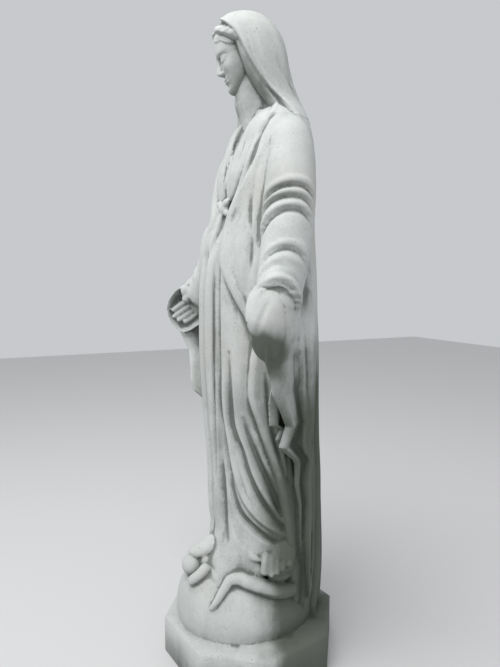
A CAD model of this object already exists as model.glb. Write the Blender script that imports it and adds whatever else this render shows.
from math import cos, pi, radians, sin
import bmesh
import bpy
import numpy as np
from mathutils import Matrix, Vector
from mathutils.bvhtree import BVHTree


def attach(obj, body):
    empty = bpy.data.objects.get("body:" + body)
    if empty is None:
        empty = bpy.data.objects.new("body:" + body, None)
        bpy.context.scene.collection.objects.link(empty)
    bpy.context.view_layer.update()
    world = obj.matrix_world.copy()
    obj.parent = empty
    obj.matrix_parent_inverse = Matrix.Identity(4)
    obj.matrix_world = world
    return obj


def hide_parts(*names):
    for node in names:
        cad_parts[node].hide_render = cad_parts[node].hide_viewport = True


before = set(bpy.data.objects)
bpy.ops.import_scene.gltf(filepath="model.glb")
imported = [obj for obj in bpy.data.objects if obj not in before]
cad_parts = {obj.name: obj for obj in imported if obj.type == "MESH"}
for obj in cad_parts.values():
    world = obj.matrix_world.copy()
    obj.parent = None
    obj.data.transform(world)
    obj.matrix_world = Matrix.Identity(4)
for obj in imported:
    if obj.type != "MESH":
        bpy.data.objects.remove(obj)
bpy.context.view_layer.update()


# 0 below low, 1 above high, and a smooth rise between.
def eased(low, high, value):
    share = np.clip((value - low) / (high - low), 0.0, 1.0)
    return share * share * (3 - 2 * share)


# A smooth curve through values at rising stations, read at each number in at.
def curveThrough(stations, values, at):
    x = np.asarray(stations, float)
    y = np.asarray(values, float)
    slope = np.gradient(y, x, axis=0)
    at = np.clip(np.asarray(at, float), x[0], x[-1])
    k = np.clip(np.searchsorted(x, at, side="right") - 1, 0, len(x) - 2)
    width = x[k + 1] - x[k]
    t = (at - x[k]) / width
    if y.ndim > 1:
        width, t = width[:, None], t[:, None]
    rise = t * t * (3 - 2 * t)
    return (
        y[k] * (1 - rise)
        + y[k + 1] * rise
        + width * slope[k] * t * (1 - t) ** 2
        - width * slope[k + 1] * t * t * (1 - t)
    )


# Moves a mesh's points to where change(co) puts them.
def remap(mesh, change):
    co = np.empty(len(mesh.vertices) * 3)
    mesh.vertices.foreach_get("co", co)
    mesh.vertices.foreach_set("co", np.ascontiguousarray(change(co.reshape(-1, 3))).ravel())


# A closed form from a grid. shape(turn, share) gives its points: turn goes 0 to 1 round it, and share
# goes 0 to 1 from its top to its bottom.
def closedForm(shape, around=96, along=96):
    bm = bmesh.new()
    bmesh.ops.create_grid(bm, x_segments=around, y_segments=along, size=0.5)
    mesh = bpy.data.meshes.new("mass")
    bm.to_mesh(mesh)

    def wrap(co):
        turn, share = co[:, 0] + 0.5, np.clip(0.5 - co[:, 1], 0, 1)
        points = shape(turn, share)
        for end in (share < 1e-6, share > 1 - 1e-6):
            points[end] = points[end].mean(axis=0)  # closes the pole
        return points

    remap(mesh, wrap)
    bm.clear()
    bm.from_mesh(mesh)
    bmesh.ops.remove_doubles(bm, verts=bm.verts, dist=1e-6)
    bmesh.ops.recalc_face_normals(bm, faces=bm.faces)
    bm.to_mesh(mesh)
    bm.free()
    return mesh


# Vectors made one metre long.
def unit(vectors):
    return vectors / np.maximum(np.linalg.norm(vectors, axis=-1, keepdims=True), 1e-9)


# A rounded form along a smooth path. flatSide is about the way its thin side faces, once or at each point.
def sweep(path, halfWidths, halfThicks, flatSide=(0, 0, 1), around=32, along=64, tip=0.12):
    path = np.asarray(path, float)
    stations = np.concatenate([[0], np.cumsum(np.linalg.norm(np.diff(path, axis=0), axis=1))])
    stations /= stations[-1]
    thin = np.broadcast_to(np.asarray(flatSide, float), path.shape)

    def shape(turn, share):
        angle = 2 * pi * turn
        t = np.clip(share, 0, 1)
        centre = curveThrough(stations, path, t)
        ahead = unit(curveThrough(stations, path, t + 0.01) - curveThrough(stations, path, t - 0.01))
        side = unit(np.cross(ahead, curveThrough(stations, thin, t)))
        up = np.cross(side, ahead)
        nearEnd = np.minimum(t, 1 - t) / tip
        full = np.sqrt(1 - (1 - np.clip(nearEnd, 0, 1)) ** 2)
        wide = curveThrough(stations, halfWidths, t) * full
        thick = curveThrough(stations, halfThicks, t) * full
        return centre + side * (wide * np.cos(angle))[:, None] + up * (thick * np.sin(angle))[:, None]

    return closedForm(shape, around, along)


# Points turned about X, then Y, then Z, by degrees.
def turned(points, turns):
    points = np.asarray(points, float)
    for axis, degrees in enumerate(turns):
        a, b = [(1, 2), (2, 0), (0, 1)][axis]
        c, s = np.cos(radians(degrees)), np.sin(radians(degrees))
        moved = points.copy()
        moved[..., a] = points[..., a] * c - points[..., b] * s
        moved[..., b] = points[..., a] * s + points[..., b] * c
        points = moved
    return points


# An ellipsoid. turns are degrees about X, Y and Z, in that order.
def egg(centre, radii, turns=(0, 0, 0), around=40, along=32):

    def shape(turn, share):
        ball = np.stack(
            [
                np.sin(pi * share) * np.cos(2 * pi * turn),
                np.sin(pi * share) * np.sin(2 * pi * turn),
                np.cos(pi * share),
            ],
            axis=1,
        )
        return turned(ball * radii, turns) + centre

    return closedForm(shape, around, along)


# The same points on her left for side 1, and on her right for side -1.
def mirrored(points, side):
    return np.asarray(points, float) * np.array([side, 1, 1])


# That many points along a smooth line through the given ones.
def smoothLine(points, count):
    points = np.asarray(points, float)
    stations = np.concatenate([[0], np.cumsum(np.linalg.norm(np.diff(points, axis=0), axis=1))])
    return curveThrough(stations, points, np.linspace(0, stations[-1], count))


# The rise or depth that drawn folds give at places (degrees, height). metres is the length of a degree.
def linesLift(across, height, lines, metres=0.0024, count=30):
    lift = np.zeros_like(height)
    for points, half, rise in lines:
        scale = np.array([metres, 1.0])
        line = smoothLine(np.asarray(points, float) * scale, count)
        place = np.stack([across, height], axis=-1) * scale
        inside = np.all((place > line.min(axis=0) - half) & (place < line.max(axis=0) + half), axis=-1)
        here = place[inside]
        best = np.full(len(here), 9.0)
        when = np.zeros(len(here))
        for k in range(count - 1):
            step = line[k + 1] - line[k]
            t = np.clip(((here - line[k]) @ step) / max(step @ step, 1e-12), 0, 1)
            away = np.linalg.norm(here - line[k] - t[:, None] * step, axis=1)
            closer = away < best
            best[closer] = away[closer]
            when[closer] = ((k + t) / (count - 1))[closer]
        taper = np.sqrt(np.clip(np.sin(pi * np.clip(when, 0.02, 0.98)), 0, 1))
        profile = np.clip(1 - (best / (half * (0.5 + 0.5 * taper))) ** 2, 0, 1) ** 1.5
        lift[inside] += rise * taper * profile
    return lift


# The half width and the depth, front or back, that rows give at heights, and the angle in radians.
def ring(rows, degrees, height):
    rows = np.asarray(rows, float)
    width, front, back = curveThrough(rows[:, 0], rows[:, 1:4], height).T
    angle = np.radians(degrees)
    depth = np.where(np.cos(angle) > 0, front, back)
    return width, depth, angle


# A smooth bump at (x0, z0), 1 at its top.
def hill(x, z, x0, z0, halfX, halfZ):
    return np.exp(-(((x - x0) / halfX) ** 2) - ((z - z0) / halfZ) ** 2)


plinthBlock = {
    "height": 0.090,
    "across": 0.402,  # between opposite flat sides
    "turn": 9.5,  # degrees that a flat side is turned from her front, towards her left
    "chamfer": 0.004,
    "shoulder": 0.016,  # rise of its top towards the globe
    "sides": 8,
    "topRings": [(1, 0.35, 1), (1, 0.66, 1), (0.55, 0.82, 0.6)],  # shares of shoulder and width, roundness
}


# An eight-sided block, chamfered round its top, which rises a little towards the globe.
def plinth():
    across = plinthBlock["across"] / 2
    edge = plinthBlock["height"]
    chamfer = plinthBlock["chamfer"]
    shoulder = plinthBlock["shoulder"]
    rings = [(edge + shoulder * rise, wide, curve) for rise, wide, curve in plinthBlock["topRings"]]
    rings += [(edge, 1 - chamfer / across, 0), (edge - chamfer, 1, 0), (0, 1, 0), (0, 0.5, 0)]
    levels, sizes, rounds = np.array(rings).T

    def shape(turn, share):
        row = np.clip(np.round(share * (len(rings) + 1)).astype(int) - 1, 0, len(rings) - 1)
        wedge = 2 * pi / plinthBlock["sides"]
        flat = 1 / np.cos(np.mod(2 * pi * turn, wedge) - wedge / 2)
        radius = across * sizes[row] * (flat + (1 - flat) * rounds[row]) * ((share > 0.01) & (share < 0.99))
        angle = 2 * pi * turn + radians(plinthBlock["turn"]) + wedge / 2
        return np.stack([radius * np.cos(angle), radius * np.sin(angle), levels[row]], axis=1)

    return closedForm(shape, plinthBlock["sides"] * 4, len(rings) + 1)


globeBall = {
    "wide": 0.160,  # half its width, across the figure
    "long": 0.176,  # half its length, front to back
    "tall": 0.145,  # from its centre to its crown
    "rise": 0.035,  # its centre above the plinth's edge
    "forward": 0.012,  # its centre ahead of the plinth's
    "crown": 0.270,  # height of its crown in the figure's drawing
    "buried": 0.4,  # share of the plinth's height at which it is cut flat
}


# The globe's centre.
def globeMiddle():
    return np.array([0, -globeBall["forward"], plinthBlock["height"] + globeBall["rise"]])


# A point over the globe: degrees round from the front to her left, degrees up, and lift over its surface.
def onGlobe(degrees, up, lift=0.0):
    a, e = np.radians(degrees), np.radians(up)
    ray = np.stack([np.cos(e) * np.sin(a), -np.cos(e) * np.cos(a), np.sin(e)], axis=-1)
    return ray * (np.array([globeBall["wide"], globeBall["long"], globeBall["tall"]]) + lift) + globeMiddle()


# The globe, its lower half cut flat inside the plinth.
def globe():
    ball = egg(globeMiddle(), (globeBall["wide"], globeBall["long"], globeBall["tall"]), (0, 0, 0), 160, 120)
    floor = plinthBlock["height"] * globeBall["buried"]
    remap(ball, lambda co: np.concatenate([co[:, :2], np.maximum(co[:, 2:], floor)], axis=1))
    return [ball]


serpentBody = {
    "thickness": 0.038,
    "route": [  # degrees round the globe and up it, from under the drapery to the tail's tip
        (112, 30), (101, 31), (91, 34), (82, 38), (71, 42), (60, 45), (52, 43.5), (47, 36), (43, 27),
        (38, 18),
    ],
    "girths": [1.0, 1.0, 0.98, 0.94, 0.86, 0.76, 0.66, 0.54, 0.42, 0.24],  # shares of its thickness
    "clear": 0.6,  # how far its middle lies off the globe, in girths
    "appleRadius": 0.0262,
    "apple": (-0.016, -0.149, 0.228),
    "skull": (  # points from under the hem to the snout, half widths, half thicknesses
        [(-0.006, -0.085, 0.287), (-0.008, -0.108, 0.271), (-0.012, -0.132, 0.261), (-0.016, -0.160, 0.262)],
        [0.022, 0.024, 0.022, 0.013],
        [0.019, 0.020, 0.018, 0.009],
    ),
    "jaw": (
        [(0.028, -0.125, 0.243), (0.034, -0.142, 0.230), (0.028, -0.157, 0.216), (0.014, -0.167, 0.201)],
        [0.013, 0.0125, 0.0125, 0.0125],
        [0.013, 0.012, 0.0115, 0.0115],
    ),
    "cheek": ((0.006, -0.118, 0.238), (0.015, 0.017, 0.020)),
}


# Tail, and a head with its jaws open round an apple, all lying on the globe.
def serpent():
    thick = serpentBody["thickness"] / 2
    girths = thick * np.array(serpentBody["girths"])
    route = serpentBody["route"]
    path = [onGlobe(*place, girth * serpentBody["clear"]) for place, girth in zip(route, girths)]
    outward = [onGlobe(*place, 1.0) - onGlobe(*place) for place in route]
    pieces = [sweep(path, girths, girths, outward, 24, 140, 0.03)]
    skull = sweep(*serpentBody["skull"], (0, -0.3, 0.95), 48, 64, 0.22)
    jaw = sweep(*serpentBody["jaw"], (0.2, -0.5, 0.8), 40, 64, 0.22)
    apple = egg(serpentBody["apple"], (serpentBody["appleRadius"],) * 3, (0, 0, 0), 72, 56)
    cheek = egg(*serpentBody["cheek"])
    pieces += [skull, jaw, cheek, apple]
    return pieces


# The two long folds that sweep from her front round to her left: degrees and heights.
sweepLow = [
    (20, 0.600), (21, 0.540), (22, 0.492), (25, 0.426), (35, 0.380), (50, 0.352), (71, 0.325),
    (94, 0.311),
]
sweepMiddle = [
    (32, 0.760), (31, 0.690), (30, 0.640), (31, 0.581), (39, 0.535), (45, 0.483), (55, 0.432),
    (71, 0.384), (95, 0.330),
]


tunicCloth = {
    "top": 1.320,
    "bottom": 0.100,
    "axis": 0.032,
    "rows": [
        [0.100, 0.110, 0.090, 0.110],
        [0.170, 0.130, 0.110, 0.120],
        [0.240, 0.146, 0.128, 0.116],
        [0.330, 0.148, 0.120, 0.108],
        [0.450, 0.147, 0.119, 0.103],
        [0.600, 0.147, 0.130, 0.100],
        [0.800, 0.148, 0.140, 0.100],
        [0.970, 0.140, 0.130, 0.095],
        [1.050, 0.122, 0.108, 0.088],
        [1.090, 0.112, 0.094, 0.082],
        [1.120, 0.116, 0.098, 0.085],
        [1.150, 0.122, 0.102, 0.088],
        [1.185, 0.124, 0.088, 0.090],
        [1.220, 0.122, 0.071, 0.090],
        [1.260, 0.114, 0.050, 0.086],
        [1.295, 0.080, 0.040, 0.072],
        [1.320, 0.046, 0.036, 0.048],
    ],
    "folds": [
        [-96, -104, 0.95, 0.24, 10, 0.010],
        [-72, -78, 1.04, 0.22, 10, 0.012],
        [-49, -55, 1.06, 0.20, 10, 0.014],
        [-28, -33, 1.07, 0.20, 9, 0.015],
        [-11, -13, 1.08, 0.20, 7.5, 0.016],
        [6, 5, 1.08, 0.20, 7.5, 0.016],
    ],
    "lines": [
        ([(16, 1.00), (17, 0.88), (17, 0.74), (16, 0.64), (19, 0.56), (21, 0.48)], 0.010, -0.009),
        (sweepLow, 0.013, -0.013),
        (sweepMiddle, 0.013, -0.012),
        ([(44, 0.610), (51, 0.546), (60, 0.492), (70, 0.443), (81, 0.390), (96, 0.345)], 0.012, -0.011),
        ([(60, 0.620), (69, 0.534), (78, 0.484), (87, 0.424), (97, 0.370)], 0.011, -0.009),
        (
            [
                (25, 0.74), (23, 0.64), (26, 0.55), (31, 0.480), (39, 0.425), (53, 0.385), (72, 0.354),
                (92, 0.332),
            ],
            0.013,
            0.008,
        ),
        ([(37, 0.600), (45, 0.530), (52, 0.478), (62, 0.435), (78, 0.384), (94, 0.348)], 0.012, 0.007),
        ([(54, 0.580), (64, 0.508), (74, 0.462), (86, 0.400), (97, 0.362)], 0.010, 0.006),
        ([(21, 0.38), (25, 0.335), (34, 0.305), (50, 0.285), (66, 0.280)], 0.012, 0.007),
        ([(13, 0.50), (14, 0.40), (18, 0.33), (25, 0.28)], 0.008, -0.007),
        ([(-38, 0.95), (-38, 0.70), (-43, 0.45), (-49, 0.28)], 0.010, -0.008),
        ([(-19, 1.03), (-20, 0.75), (-22, 0.50), (-23, 0.26)], 0.009, -0.009),
        ([(-3, 1.03), (-3, 0.75), (-4, 0.50), (-5, 0.26)], 0.008, -0.009),
        ([(-60, 0.90), (-62, 0.60), (-66, 0.30)], 0.010, -0.008),
    ],
    "pleats": [
        ([(0.5 * k, 1.105), (2.4 * k, 1.160), (5.5 * k, 1.215), (8.5 * k, 1.255)], 0.0055, -0.0055)
        for k in range(-6, 7)
    ],
    "waist": 1.088,
    "waistDepth": 0.008,
    "knee": (42, 0.72, 12, 0.14, 0.012),  # degrees, height, half spans and rise
    "footHem": [[50, 62, 74, 90, 104, 118], [0.235, 0.282, 0.305, 0.318, 0.315, 0.240]],  # degrees, heights
    "footInset": 0.030,
    "flare": [  # spread of the hem over the globe, by degrees from her front
        [-180, 0], [-60, 0], [-40, 0.006], [-14, 0.018], [0, 0.031], [8, 0.036], [20, 0.041], [25, 0.041],
        [31, 0.027], [37, 0.008], [50, 0], [180, 0],
    ],
}


# The tunic, from her neck down over the globe.
def tunic(turn, share):
    height = tunicCloth["top"] + (tunicCloth["bottom"] - tunicCloth["top"]) * share
    degrees = np.mod(turn * 360 + 180, 360) - 180
    lift = np.zeros_like(height)
    for top, bottom, high, low, half, rise in tunicCloth["folds"]:
        down = np.clip((high - height) / (high - low), 0, 1)
        middle = top + (bottom - top) * down ** 1.5
        across = np.abs(degrees - middle) / (half * (1 + 0.25 * down))
        fade = eased(low - 0.10, low + 0.04, height) * (1 - eased(high - 0.12, high, height))
        lift = np.maximum(lift, rise * fade * np.clip(1 - across ** 2, 0, 1) ** 0.8)
    lift += linesLift(degrees, height, tunicCloth["lines"])
    lift += linesLift(degrees, height, tunicCloth["pleats"])
    *knee, kneeRise = tunicCloth["knee"]
    lift += kneeRise * hill(degrees, height, *knee)
    lift -= tunicCloth["waistDepth"] * np.exp(-(((height - tunicCloth["waist"]) / 0.010) ** 2))
    hem = curveThrough(*tunicCloth["footHem"], degrees)
    overFoot = eased(48, 62, degrees) * (1 - eased(112, 120, degrees))
    lift -= tunicCloth["footInset"] * overFoot * (1 - eased(hem - 0.010, hem + 0.004, height))
    front = eased(-60, -40, degrees) * (1 - eased(42, 56, degrees))
    lift *= 1 - 0.97 * front * (1 - eased(0.270, 0.385, height))
    flare = curveThrough(*np.transpose(tunicCloth["flare"]), degrees)
    lift += flare * np.clip((0.335 - height) / 0.115, 0, 1.05) ** 2 * eased(0.165, 0.205, height)
    width, depth, angle = ring(tunicCloth["rows"], degrees, height)
    x = (width + lift) * np.sin(angle)
    y = tunicCloth["axis"] - (depth + lift) * np.cos(angle)
    return np.stack([x, y, height], axis=1)


# The hem's edge: degrees round from her front, and degrees up the globe.
hemEdge = [
    [-180, 62], [-90, 62], [-50, 58], [-20, 56], [0, 54], [12, 50.5], [22, 47], [30, 42], [35, 39.5],
    [39, 41], [44, 45.5], [51, 51], [60, 54], [68, 56], [90, 62], [180, 62],
]


# The skirt's hem, lying over the globe with a point at its left front.
def hemOnGlobe(turn, share):
    degrees = np.mod(turn * 360 + 180, 360) - 180
    up = 90 - 180 * share
    edge = curveThrough(*np.transpose(hemEdge), degrees)
    on = eased(edge - 3.5, edge + 2.5, up)
    swell = 0.003 * np.exp(-(((degrees - 34) / 14) ** 2)) * eased(edge, edge + 22, up)
    size = 0.88 + (0.105 + swell / 0.16) * on
    a, e = np.radians(degrees), np.radians(up)
    ray = np.stack([np.cos(e) * np.sin(a), -np.cos(e) * np.cos(a), np.sin(e)], axis=1)
    ball = ray * np.array([globeBall["wide"], globeBall["long"], globeBall["tall"]]) * size[:, None]
    ball[:, 2] = np.maximum(ball[:, 2], -0.03)
    return ball + ray * 0.008 * on[:, None] + (
        0,
        -globeBall["forward"],
        globeBall["crown"] - globeBall["tall"],
    )


mantleCloth = {
    "top": 1.345,
    "bottom": 0.070,
    "roll": 0.004,  # rise of its rolled front edges
    "openInset": 0.40,  # how far it lies inside the tunic where it is open
    "rows": [
        [0.070, 0.122, 0.10, 0.140, 100],
        [0.140, 0.136, 0.11, 0.141, 97],
        [0.220, 0.148, 0.12, 0.140, 93],
        [0.330, 0.156, 0.13, 0.134, 87],
        [0.410, 0.161, 0.133, 0.129, 81],
        [0.470, 0.164, 0.138, 0.125, 75],
        [0.540, 0.166, 0.142, 0.118, 66],
        [0.600, 0.168, 0.146, 0.114, 58],
        [0.660, 0.170, 0.150, 0.111, 51],
        [0.740, 0.173, 0.152, 0.109, 52],
        [0.800, 0.175, 0.152, 0.108, 54],
        [0.837, 0.175, 0.152, 0.107, 48],
        [0.880, 0.175, 0.151, 0.107, 38],
        [0.919, 0.175, 0.149, 0.107, 29],
        [0.957, 0.174, 0.145, 0.107, 21],
        [1.013, 0.172, 0.134, 0.107, 18],
        [1.076, 0.168, 0.115, 0.108, 17],
        [1.113, 0.166, 0.110, 0.110, 24],
        [1.163, 0.162, 0.103, 0.110, 31],
        [1.203, 0.156, 0.089, 0.110, 32],
        [1.240, 0.145, 0.069, 0.108, 35],
        [1.273, 0.130, 0.053, 0.103, 43],
        [1.298, 0.110, 0.048, 0.096, 60],
        [1.325, 0.078, 0.036, 0.080, 84],
        [1.345, 0.050, 0.026, 0.060, 100],
    ],
    "folds": [
        [118, 112, 0.80, 0.10, 8, 0.010],
        [136, 132, 1.05, 0.10, 8, 0.012],
        [154, 152, 1.16, 0.10, 8, 0.013],
        [172, 170, 1.08, 0.10, 8, 0.012],
        [190, 191, 1.14, 0.10, 8, 0.013],
        [208, 210, 1.06, 0.10, 8, 0.013],
        [226, 229, 1.10, 0.10, 8, 0.011],
        [244, 249, 0.85, 0.10, 8, 0.010],
    ],
    "lines": [
        (
            [(62, 1.245), (54, 1.215), (48, 1.171), (45, 1.129), (43, 1.086), (41, 1.03)],
            0.013,
            -0.0035,
        ),
        ([(66, 1.19), (58, 1.12), (52, 1.02), (48, 0.92), (47, 0.84)], 0.016, -0.0028),
        ([(33, 1.07), (32, 1.02), (34, 0.965), (42, 0.905), (52, 0.85)], 0.012, -0.002),
        ([(64, 0.72), (68, 0.62), (75, 0.54), (85, 0.47)], 0.010, -0.008),
        ([(80, 0.74), (84, 0.62), (90, 0.52), (98, 0.42)], 0.010, -0.008),
        ([(96, 0.78), (99, 0.60), (103, 0.42), (106, 0.24)], 0.010, -0.009),
    ],
}


# The mantle, open in front, from her shoulders to the globe.
def mantle(turn, share):
    height = mantleCloth["top"] + (mantleCloth["bottom"] - mantleCloth["top"]) * share
    degrees = turn * 360
    signed = np.mod(degrees + 180, 360) - 180
    rows = np.asarray(mantleCloth["rows"], float)
    edge = curveThrough(rows[:, 0], rows[:, 4], height)
    inside = 1 - eased(edge - 7, edge, np.abs(signed))
    lift = np.zeros_like(height)
    for top, bottom, high, low, half, rise in mantleCloth["folds"]:
        down = np.clip((high - height) / (high - low), 0, 1)
        middle = top + (bottom - top) * down + 2.5 * np.sin(height * 8 + top)
        across = np.abs(degrees - middle) / (half * (1 + 0.1 * down))
        fade = 1 - eased(high - 0.35, high, height)
        lift = np.maximum(lift, rise * fade * np.clip(1 - across ** 2, 0, 1) ** 0.8)
    lift += linesLift(np.abs(signed), height, mantleCloth["lines"], 0.003)
    roll = np.exp(-(((np.abs(signed) - edge - 4) / 3.5) ** 2))
    lift += mantleCloth["roll"] * roll
    width, depth, angle = ring(mantleCloth["rows"], degrees, height)
    x = (width + lift) * np.sin(angle)
    y = tunicCloth["axis"] - (depth + lift) * np.cos(angle)
    keep = 1 - mantleCloth["openInset"] * inside
    return np.stack([x * keep, tunicCloth["axis"] + (y - tunicCloth["axis"]) * keep, height], axis=1)


lapelEdge = {
    "path": [
        (0.050, 0.074, 1.312), (0.070, 0.034, 1.306), (0.066, -0.004, 1.281), (0.056, -0.032, 1.225),
        (0.042, -0.056, 1.165), (0.020, -0.062, 1.105),
    ],
    "faces": [
        (0.2, 0, 1), (0.5, -0.4, 0.8), (0.3, -0.9, 0.5), (0.3, -1, 0.4), (0.1, -1, 0.2), (0, -1, -0.2),
    ],
    "wide": [0.018, 0.027, 0.033, 0.033, 0.027, 0.016],
    "thick": [0.010, 0.011, 0.011, 0.010, 0.009, 0.007],
}


# The turned edge of cloth inside the mantle, from the neck to the waist, lying on the bodice.
def lapel(side):
    path = mirrored(lapelEdge["path"], side)
    faces = mirrored(lapelEdge["faces"], side)
    return sweep(path, lapelEdge["wide"], lapelEdge["thick"], faces, 48, 120, 0.08)


sashKnot = {
    "front": 0.100,  # how far it lies ahead of the tunic's axis
    "knot": (0.020, 0.014, 0.016),
    "loops": [  # out, back and up from the knot, radii, and turn outwards
        (0.016, -0.002, 0.012, (0.015, 0.008, 0.010), -25),
        (0.017, -0.001, -0.008, (0.014, 0.007, 0.009), 28),
    ],
    "ends": [  # out, crossing, back and up from the knot
        (0.003, 0, -0.006, -0.008), (0.008, 0, -0.020, -0.045), (0.011, -0.004, -0.034, -0.085),
        (0.012, -0.006, -0.032, -0.126),
    ],
    "endWide": [0.006, 0.008, 0.010, 0.011],
    "endThick": [0.006, 0.007, 0.007, 0.006],
}


# The sash's knot and its two hanging ends.
def knot():
    front = tunicCloth["axis"] - sashKnot["front"]
    waist = tunicCloth["waist"]
    pieces = [egg((0.002, front, waist), sashKnot["knot"], (0, 0, 0), 24, 20)]
    for side in (1, -1):
        for out, back, up, radii, turn in sashKnot["loops"]:
            pieces.append(egg((out * side, front + back, waist + up), radii, (0, turn * side, 0), 24, 16))
        ends = [(out * side + cross, front + back, waist + up) for out, cross, back, up in sashKnot["ends"]]
        pieces.append(sweep(ends, sashKnot["endWide"], sashKnot["endThick"], (0, -1, 0), 20, 40, 0.06))
    return pieces


sleeveCloth = {
    "farShift": (0, 0.007, 0),  # how much farther back her right arm lies
    "faces": (1, -0.1, 0.3),
    "cuffStep": 0.24,  # how far the cuff steps in, as a share of its girth
    "path": [
        (0.060, 0.050, 1.283),
        (0.112, 0.044, 1.240),
        (0.147, 0.029, 1.160),
        (0.170, 0.010, 1.050),
        (0.197, -0.012, 0.970),
        (0.228, -0.041, 0.905),
        (0.250, -0.062, 0.850),
    ],
    "wide": [0.036, 0.047, 0.054, 0.057, 0.053, 0.048, 0.046],
    "deep": [0.034, 0.042, 0.050, 0.054, 0.049, 0.045, 0.042],
    "cuff": [
        [-180, 0.850], [-60, 0.862], [-15, 0.893], [20, 0.913], [60, 0.925], [95, 0.918], [125, 0.897],
        [180, 0.850],
    ],
    "lines": [
        (
            [(-35, 1.062), (0, 1.092), (30, 1.109), (65, 1.117), (95, 1.114), (125, 1.098), (155, 1.070)],
            0.0085,
            -0.0065,
        ),
        ([(-20, 1.096), (15, 1.117), (65, 1.130), (100, 1.127), (135, 1.104)], 0.012, 0.0050),
        (
            [(-35, 1.044), (0, 1.073), (30, 1.088), (65, 1.094), (95, 1.090), (125, 1.072), (155, 1.046)],
            0.0080,
            -0.0065,
        ),
        ([(-25, 1.064), (10, 1.090), (60, 1.105), (95, 1.102), (130, 1.082)], 0.010, 0.0045),
        (
            [(-40, 0.985), (-8, 1.024), (25, 1.053), (60, 1.066), (90, 1.063), (120, 1.047), (155, 1.018)],
            0.0095,
            -0.0075,
        ),
        ([(-25, 1.022), (5, 1.052), (45, 1.074), (85, 1.077), (125, 1.058)], 0.011, 0.0055),
        ([(-20, 0.940), (10, 0.968), (45, 0.983), (75, 0.985), (110, 0.973), (150, 0.938)], 0.0085, -0.0065),
        ([(-10, 0.962), (25, 0.987), (65, 0.999), (105, 0.990), (140, 0.960)], 0.011, 0.0045),
        ([(-25, 0.915), (10, 0.940), (45, 0.953), (90, 0.945)], 0.009, -0.0045),
        ([(30, 0.961), (65, 0.969), (105, 0.957), (135, 0.936)], 0.009, 0.0040),
        ([(60, 0.942), (95, 0.930), (125, 0.910), (150, 0.885)], 0.009, -0.0045),
        (
            [(-50, 0.868), (-15, 0.896), (20, 0.915), (60, 0.927), (95, 0.920), (125, 0.900), (160, 0.868)],
            0.013,
            0.0075,
        ),
    ],
}


# A sleeve with its folds, down to the cuff.
def sleeve(side):
    path = mirrored(sleeveCloth["path"], side)
    if side < 0:
        path = path + sleeveCloth["farShift"]
    faces = mirrored(sleeveCloth["faces"], side)
    mesh = sweep(path, sleeveCloth["wide"], sleeveCloth["deep"], faces, 96, 220, 0.05)
    stations = smoothLine(path, 60)

    def fold(co):
        nearest = np.argmin(np.linalg.norm(co[:, None, :] - stations[None], axis=2), axis=1)
        away = co - stations[nearest]
        roundIt = np.degrees(np.arctan2(away[:, 0] * side, -away[:, 1]))
        lift = linesLift(roundIt, co[:, 2], sleeveCloth["lines"], 0.0009)
        cuff = curveThrough(*np.transpose(sleeveCloth["cuff"]), roundIt)
        inside = 1 - eased(cuff - 0.010, cuff, co[:, 2])
        return co + unit(away) * lift[:, None] - away * (sleeveCloth["cuffStep"] * inside)[:, None]

    remap(mesh, fold)
    return mesh


openHand = {
    "wrist": (0.214, -0.026, 0.884),
    "tip": (0.272, -0.104, 0.818),
    "palmFaces": (-0.95, -0.28, 0.06),
    "swells": [  # centre, radii and turns of what fills out the cloth
        ((0.252, -0.081, 0.811), (0.026, 0.034, 0.050), (8, 0, 0)),
        ((-0.124, -0.050, 0.978), (0.036, 0.034, 0.090), (0, 0, 0)),
    ],
    "thumbRoot": ((-0.232, -0.085, 0.893), (0.013, 0.016, 0.021), (28, 0, 0)),
    "palmPath": [(-0.25, 0, -0.06), (0.10, 0, 0.0), (0.32, 0, 0.02), (0.56, 0, 0.0)],
    "palmWide": [0.022, 0.027, 0.031, 0.029],
    "palmThick": [0.018, 0.014, 0.014, 0.010],
    "fingers": [(0.205, 0.95), (0.07, 1.03), (-0.065, 0.99), (-0.19, 0.88)],  # place across, and reach
    "fingerWide": [0.0086, 0.0082, 0.0076, 0.0060],
    "fingerThick": [0.0084, 0.0080, 0.0074, 0.0058],
    "thumbPath": [(0.00, 0.12, 0.04), (0.18, 0.24, 0.10), (0.36, 0.26, 0.16), (0.55, 0.20, 0.19)],
    "thumbWide": [0.018, 0.0165, 0.0140, 0.0110],
    "thumbThick": [0.017, 0.0150, 0.0125, 0.0098],
    # the cloth over it, in hand lengths: places along it, then for each its half width, and so on
    "coverAlong": [-0.42, -0.10, 0.20, 0.55, 0.90, 1.14],
    "coverBack": [0.20, 0.34, 0.44, 0.46, 0.36, 0.20],
    "coverRim": [-0.02, 0.04, 0.13, 0.17, 0.15, 0.10],
    "coverThick": 0.095,
    "coverWide": {1: [0.30, 0.40, 0.50, 0.60, 0.55, 0.40], -1: [0.30, 0.40, 0.47, 0.49, 0.42, 0.26]},
    "coverShift": {1: [0.00, 0.02, 0.02, -0.05, -0.13, -0.20], -1: [0.00, 0.02, 0.05, 0.06, 0.00, -0.08]},
}


# Gives points of a hand in hand lengths: a along it, b across to the thumb, c out of its palm.
def handFrame(side):
    wrist, tip = np.array(openHand["wrist"]), np.array(openHand["tip"])
    length = np.linalg.norm(tip - wrist)
    along = (tip - wrist) / length
    across = unit(np.cross(along, openHand["palmFaces"]))
    palm = np.cross(across, along)

    def at(a, b, c):
        return mirrored(wrist + length * (along * a - across * b + palm * c), side)

    return at, mirrored(palm, side)


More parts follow.
